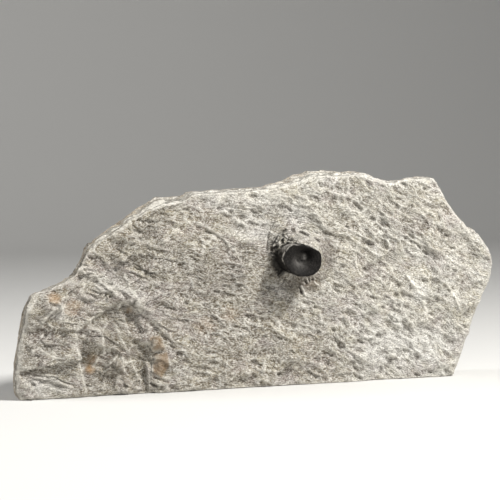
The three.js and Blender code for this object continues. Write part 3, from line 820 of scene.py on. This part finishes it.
def make_bone():
    """The bone: a pitted dish with a small knob, a crust of stone on its side, and a dusty rim. Painted
    light lies on the dish's lower left and its knob, painted shade on its upper-right wall.
    """
    bone = fine_copy("vertebra", "vertebra_bone", BONE_GRAIN, 5)
    places, normals = places_of(bone)
    across, up, height, angle, share = bone_places(places)
    degrees = np.degrees(angle)
    grain = np.stack([across, up, height], axis=1)
    dish = fade(height, 14, 17) * (1 - fade(share, 0.9, 0.97)) * (normals[:, 1] < 0)
    knob = mound(across, up, KNOB)
    relief = dish * (0.8 * knob - 1.5 * mound(across, up, PIT) - 2.2 * mound(across, up, BOWL))
    relief += dish * 0.06 * crests(np.stack([angle * 10, share * 4], axis=1), (1.0, 3.0), 301)
    relief += 0.07 * swell(grain, 2.2, 303) + 0.04 * swell(grain, 0.9, 305)
    side = fade(share, 0.8, 0.9) * (1 - fade(height, 19.5, 21.5))
    coated = side * fade(degrees, 82, 96) * (1 - fade(degrees + 14 * swell(grain, 3, 307), 145, 168))
    relief += coated * (0.5 * crests(grain, 2.2, 309) + 0.3)
    relief -= side * 0.4 * dimples(grain, 2.4, 311, 0.3)
    low, high = (np.array(corner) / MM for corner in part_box("vertebra"))
    move_to(bone, fit_to_box(places + normals * relief[:, None], low, high))
    rim = np.exp(-((share - 0.98 + 0.03 * swell(grain, 3, 315)) ** 2) / 0.0006) * fade(height, 20, 21.2)
    rim *= np.clip(fade(degrees, 95, 115) + 1 - fade(degrees, -178, -165), 0, 1)
    rim *= fade(swell(grain, 1.5, 313), -0.45, 0.3)
    store(bone.data, "crust", np.clip(coated, 0, 1))
    store(bone.data, "rim_dust", np.clip(rim, 0, 1))
    # painted light on the dish's lower left and a painted highlight on the knob
    store(bone.data, "lit_dish_and_knob", np.clip(dish * (1.3 * knob + 0.34 * mound(across, up, PAINTED_LIT_SIDE)), 0, 1))
    # painted shade on the dish's upper-right wall
    store(bone.data, "shadowed_wall", dish * mound(across, up, PAINTED_SHADOWED_SIDE) * (1 - knob))
    return bone


# ---------- Materials ----------


def colour(hex_code):
    """sRGB hex to a linear colour."""
    parts = [int(hex_code[n : n + 2], 16) / 255 for n in (1, 3, 5)]
    return (*[c / 12.92 if c <= 0.04045 else ((c + 0.055) / 1.055) ** 2.4 for c in parts], 1.0)


def add(tree, kind, inputs=None, **settings):
    """Adds a node with its settings. An input takes a value, or another node's output."""
    node = tree.nodes.new(kind)
    for name, value in settings.items():
        setattr(node, name, value)
    for place, value in (inputs or {}).items():
        if isinstance(value, bpy.types.NodeSocket):
            tree.links.new(value, node.inputs[place])
        else:
            node.inputs[place].default_value = value
    return node


def start_material(name):
    """An empty material, its node tree, and where each point lies on the piece."""
    material = bpy.data.materials.new(name)
    material.use_nodes = True
    tree = material.node_tree
    tree.nodes.clear()
    return material, tree, add(tree, "ShaderNodeTexCoord").outputs["Object"]


def streaks(tree, where, width_mm, length_mm, degrees, detail=2.0, kind="FBM"):
    """Noise drawn out into short strokes of that size and turn. Ridged noise gives hairlines."""
    stretch, turn = (length_mm / width_mm, 1, 1), (0, 0, math.radians(degrees))
    drawn = {"Vector": where, "Rotation": turn, "Scale": stretch}
    drawn = add(tree, "ShaderNodeMapping", drawn, vector_type="TEXTURE").outputs["Vector"]
    noise = {"Vector": drawn, "Scale": 1 / (width_mm * MM), "Detail": detail, "Roughness": 0.6}
    if kind != "FBM":
        noise["Offset"] = 1.0
    return add(tree, "ShaderNodeTexNoise", noise, noise_type=kind).outputs["Fac"]


def lay_tones(tree, where, ground, layers):
    """Lays tones over a ground colour. Each shows where a stored mark, or streaks given as their width,
    length and turn, lie between two levels, and has its own colour and strength."""
    tone = add(tree, "ShaderNodeRGB")
    tone.outputs[0].default_value = colour(ground)
    tone = tone.outputs[0]
    for source, low, high, hex_code, strength in layers:
        if isinstance(source, str):
            share = add(tree, "ShaderNodeAttribute", attribute_name=source).outputs["Fac"]
        else:
            share = streaks(tree, where, *source)
        ramp = {"Value": share, "From Min": low, "From Max": high, "To Max": strength}
        share = add(tree, "ShaderNodeMapRange", ramp).outputs["Result"]
        laid = {0: share, 6: tone, 7: colour(hex_code)}
        tone = add(tree, "ShaderNodeMix", laid, data_type="RGBA").outputs[2]
    return tone


def limestone():
    """Argillaceous limestone, split and air-chiselled: matt, grey-beige, with painted highlights on its
    crests and edges and painted shade in its hollows.
    """
    material, tree, _ = start_material("air_chiselled_limestone")
    lie = add(tree, "ShaderNodeAttribute", attribute_name="lie").outputs["Vector"]
    tone = lay_tones(tree, lie, "#766d5f", [
        ("pale", 0, 1, "#b4b1a8", 1.0),  # the paler right half
        ((26, 40, 0), 0.42, 0.6, "#a1947a", 0.33),  # clay-rich, yellower patches
        ((14, 22, 30), 0.5, 0.62, "#8f8082", 0.45),  # faintly pink patches
        ((6, 11, 0), 0.5, 0.64, "#c2b898", 0.3),  # stone dust
        ((4, 7, 10), 0.46, 0.34, "#66594c", 0.35),  # damp-looking grey in its pores
        ("bed_stain", 0, 1, "#b9a586", 0.75),  # weathered joint between the two beds
        # stone tone, and painted light and shade set against the lamps' fall-off and the bone's cast shadow
        ("pale_and_lit_patch", 0, 1, "#d9d7d3", 0.6),
        ("grey_and_shaded_patch", 0, 1, "#655e53", 0.55),
        ("crest", 0, 1, "#ebe7dc", 0.33),  # painted highlight on the crests
        # painted shade in the hollows and under the scarps' lips
        ("hollow", 0, 1, "#483d2f", 0.55),
        ("net", 0, 1, "#f2f0ea", 0.45),  # painted highlight on the crests between the tool's scallops
        ((1.3, 3.4, 10, 0.0, "RIDGED_MULTIFRACTAL"), 0.9, 0.99, "#f3eee2", 0.45),  # hairline scratches
        ((1.6, 2.6, -50, 0.0, "RIDGED_MULTIFRACTAL"), 0.91, 0.99, "#f0ebdf", 0.45),
        ((0.75, 3.4, 10), 0.46, 0.38, "#3f3a32", 0.4),
        ((0.45, 1.5, 8, 1.0), 0.5, 0.58, "#f3f1ea", 0.42),  # light and dark mineral grains
        ((0.45, 1.3, 30, 1.0), 0.48, 0.4, "#3a3024", 0.45),
        # painted shade, together with the dark grey of the plain stone blocks
        ("shade", 0, 1, "#4a4237", 0.55),
        ("iron", 0, 1, "#ab8659", 0.55),
        ("shell", 0, 1, "#816c52", 0.75),
        # painted highlight along the front's rounded edge
        ("rim", 0, 1, "#f0ece1", 0.35),
        ("vein_and_lit_lip", 0, 1, "#f2eee4", 0.6),  # calcite, and painted highlight on lips and thin crests
        ("crack", 0, 1, "#2d2822", 0.8),
        ("leaf", 0, 1, "#574530", 0.7),  # stained joints between the leaves of the broken edge
        ("bone_grit_and_shade", 0, 1, "#1d1b19", 0.92),  # broken bone in the collar's rubble, and painted shade on its flank beside the bone
    ])
    scratched = {"Height": streaks(tree, lie, 1.0, 3.4, 8), "Distance": 0.9 * MM, "Strength": 1.0}
    scratched = add(tree, "ShaderNodeBump", scratched).outputs["Normal"]
    grainy = {"Height": streaks(tree, lie, 0.55, 1.5, 14), "Distance": 0.65 * MM, "Normal": scratched}
    skin = add(tree, "ShaderNodeBump", grainy).outputs["Normal"]
    surface = {"Base Color": tone, "Roughness": 0.95, "Specular IOR Level": 0.2, "Normal": skin}
    shader = add(tree, "ShaderNodeBsdfPrincipled", surface)
    add(tree, "ShaderNodeOutputMaterial", {"Surface": shader.outputs["BSDF"]})
    return material


def black_bone():
    """Phosphatised bone, black and satin where the air pen has cleaned it, with stone dust in its grain,
    and painted light and shade in its dish.
    """
    material, tree, where = start_material("black_fossil_bone")
    tone = lay_tones(tree, where, "#141312", [
        ((2.4, 2.4, 0), 0.42, 0.62, "#1f1d1c", 1.0),
        ((0.9, 0.9, 0), 0.52, 0.68, "#3c3936", 0.45),
        ((0.45, 0.45, 0), 0.54, 0.66, "#4a4744", 0.3),
        # painted light on the dish's lower left and a painted highlight on the knob
        ("lit_dish_and_knob", 0, 1, "#a5a19c", 0.75),
        # painted shade on the dish's upper-right wall
        ("shadowed_wall", 0, 1, "#060505", 0.95),
        ("crust", 0, 1, "#8c8882", 0.85),  # stone still stuck to the side
        ((1.5, 1.5, 0), 0.52, 0.6, "#1d1b19", 0.5),
        ("rim_dust", 0, 1, "#b4afa7", 0.75),
    ])
    pores = {"Height": streaks(tree, where, 0.5, 0.5, 0), "Distance": 0.15 * MM, "Strength": 0.4}
    pores = add(tree, "ShaderNodeBump", pores).outputs["Normal"]
    surface = {"Base Color": tone, "Roughness": 0.66, "Specular IOR Level": 0.08, "Normal": pores}
    shader = add(tree, "ShaderNodeBsdfPrincipled", surface)
    add(tree, "ShaderNodeOutputMaterial", {"Surface": shader.outputs["BSDF"]})
    return material


def matt_paper():
    """Studio paper: matt and pale, so that it takes the shadow softly."""
    material, tree, _ = start_material("matt_paper")
    shader = add(tree, "ShaderNodeBsdfPrincipled", {"Base Color": colour("#d6d5d2"), "Roughness": 0.9})
    add(tree, "ShaderNodeOutputMaterial", {"Surface": shader.outputs["BSDF"]})
    return material


# ---------- The pieces ----------

slab = make_slab()
slab.data.materials.append(limestone())
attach(slab, "root")
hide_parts("matrix_slab")

bone = make_bone()
bone.data.materials.append(black_bone())
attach(bone, "root")
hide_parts("vertebra")


# ---------- Studio ----------


def make_sweep():
    """A pale floor that turns up into a backdrop behind the stone."""
    half_width, near, far, bend_radius, wall = 4.0, -3.0, 1.2, 0.8, 3.0
    sweep = bmesh.new()
    corners = [sweep.verts.new((side, near, 0)) for side in (-half_width, half_width)]
    edge = sweep.edges.new(corners)

    def extrude(geometry, by):
        """Draws the edges out by that much, and gives the new ones."""
        made = bmesh.ops.extrude_edge_only(sweep, edges=geometry)["geom"]
        bmesh.ops.translate(sweep, verts=[v for v in made if isinstance(v, bmesh.types.BMVert)], vec=by)
        return [e for e in made if isinstance(e, bmesh.types.BMEdge)]

    floor_end = extrude([edge], (0, far - near, 0))
    turn = {"cent": (0, far, bend_radius), "axis": (1, 0, 0), "angle": math.radians(90), "steps": 24}
    bend = bmesh.ops.spin(sweep, geom=floor_end, **turn)
    top = [e for e in bend["geom_last"] if isinstance(e, bmesh.types.BMEdge)]
    extrude(top, (0, 0, wall))
    bmesh.ops.recalc_face_normals(sweep, faces=sweep.faces)
    mesh = bpy.data.meshes.new("paper_sweep")
    sweep.to_mesh(mesh)
    sweep.free()
    mesh.shade_smooth()
    piece = bpy.data.objects.new("paper_sweep", mesh)
    bpy.context.scene.collection.objects.link(piece)
    mesh.materials.append(matt_paper())


def add_light(name, place, size, power, warmth):
    """A soft square lamp that faces the stone."""
    lamp = bpy.data.lights.new(name, "AREA")
    lamp.shape, lamp.size = "SQUARE", size
    lamp.energy, lamp.color = power, warmth
    piece = bpy.data.objects.new(name, lamp)
    piece.location = place
    aim = Vector((0, 0, 0.06)) - piece.location
    piece.rotation_euler = aim.to_track_quat("-Z", "Y").to_euler()
    bpy.context.scene.collection.objects.link(piece)


def add_camera():
    """Stands 1.2 m off, 24 degrees to the left of the stone's front and a little above it."""
    turn, rise, away = math.radians(24), math.radians(3.605), 1.2
    aim = Vector((-0.0116, 0, 0.07942))
    back = Vector((-math.sin(turn) * math.cos(rise), -math.cos(turn) * math.cos(rise), math.sin(rise)))
    lens = bpy.data.cameras.new("camera")
    lens.lens, lens.sensor_width = 149.665, 36  # long, so the slab's far end is hardly smaller
    lens.clip_start, lens.clip_end = 0.05, 20
    camera = bpy.data.objects.new("camera", lens)
    camera.location = aim + back * away
    camera.rotation_euler = (-back).to_track_quat("-Z", "Y").to_euler()
    bpy.context.scene.collection.objects.link(camera)
    bpy.context.scene.camera = camera


def add_daylight(strength):
    """Even pale light from all round, weak enough to keep the lamps' shadows."""
    world = bpy.data.worlds.new("studio")
    world.use_nodes = True
    sky = world.node_tree.nodes["Background"]
    sky.inputs["Color"].default_value = colour("#f2f3f5")
    sky.inputs["Strength"].default_value = strength
    bpy.context.scene.world = world


make_sweep()
add_light("key", (0.4, -0.64, 0.98), 0.24, 22, (1.0, 0.99, 0.97))
add_light("fill", (-0.9, -1.2, 0.5), 0.8, 2, (0.97, 0.985, 1.0))
add_light("rim", (-1.2, 0.3, 0.45), 0.5, 11, (1.0, 1.0, 1.0))
add_camera()
add_daylight(0.14)
bpy.context.scene.view_settings.view_transform = "Standard"
